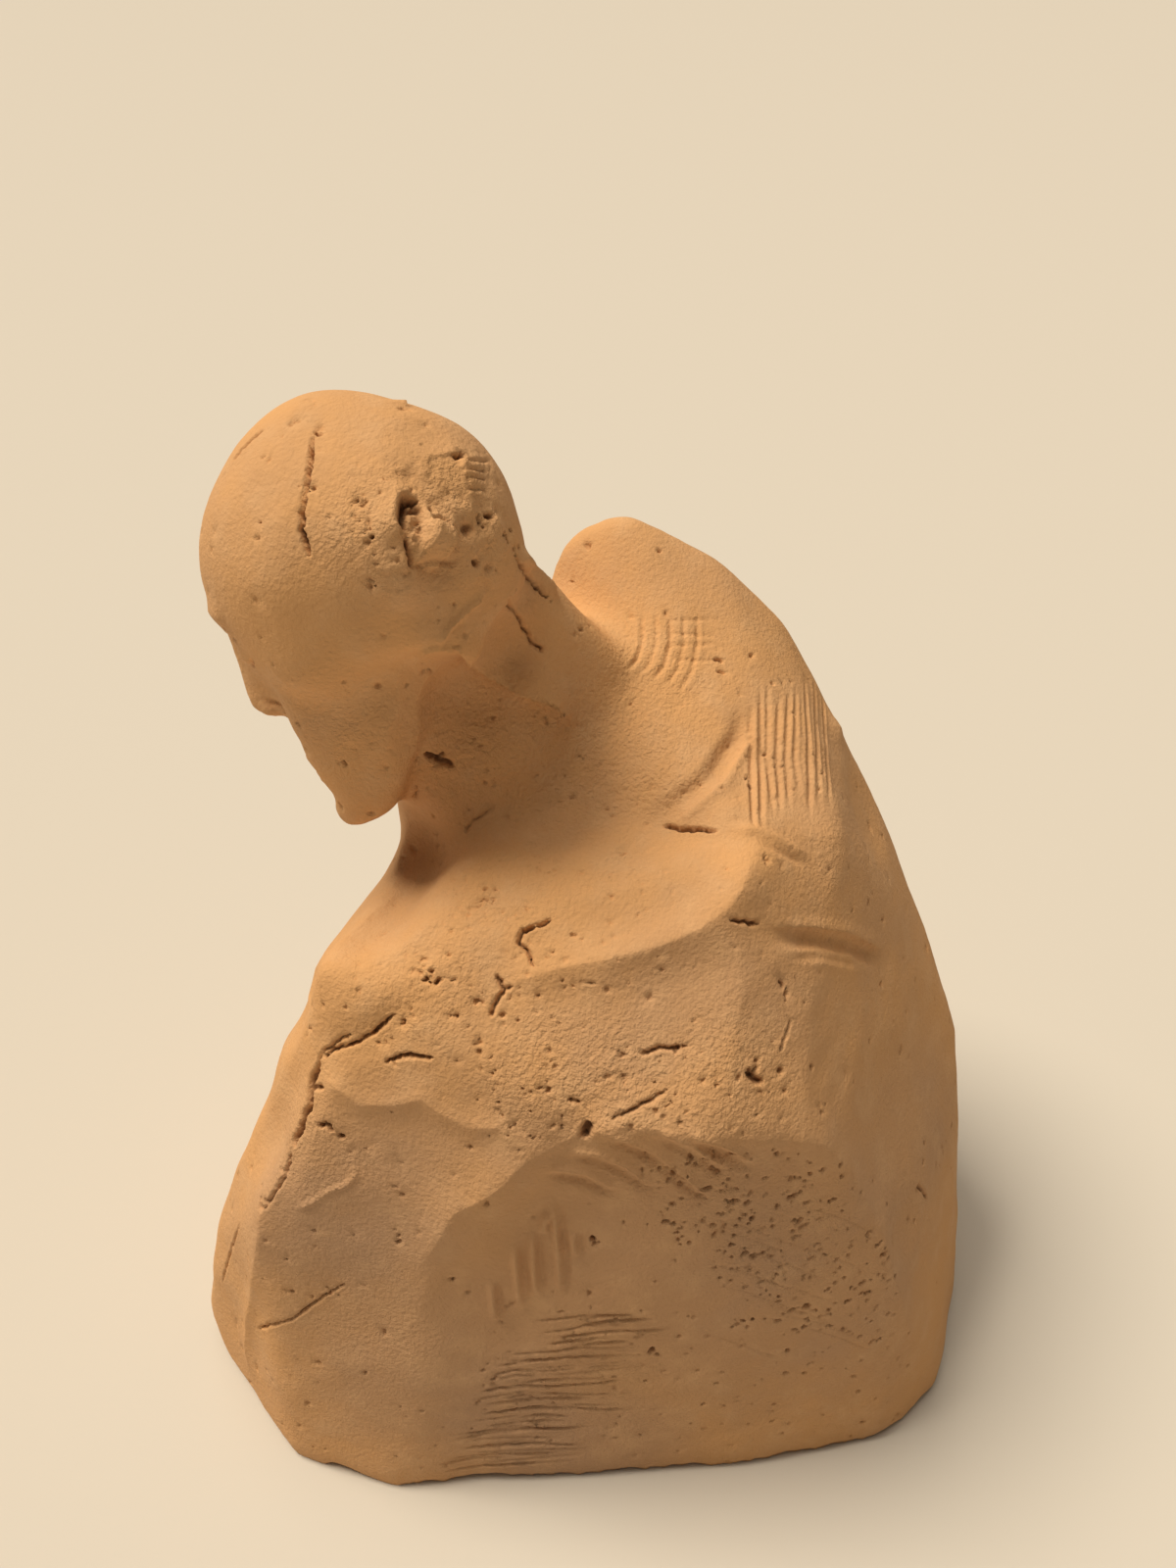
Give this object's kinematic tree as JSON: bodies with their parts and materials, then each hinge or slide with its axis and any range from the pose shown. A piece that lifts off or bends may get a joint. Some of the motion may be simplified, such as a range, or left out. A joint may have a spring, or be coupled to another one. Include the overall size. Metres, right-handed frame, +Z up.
{
  "type": "terracotta bust",
  "caption": "Small hand-modelled terracotta sketch of a bust with a bowed, bald head and a cut-off torso that stands on its flat underside.",
  "frame": {"origin": "middle of the flat underside, on the surface that the bust stands on", "axes": "+Z up; the figure's chest looks along -Y and its left side is +X"},
  "size_m": [0.073, 0.0832, 0.1006],
  "materials": {
    "terracotta": "matte, unglazed, rough"
  },
  "bodies": {
    "root": {"bust": "terracotta"}
  },
  "joints": []
}
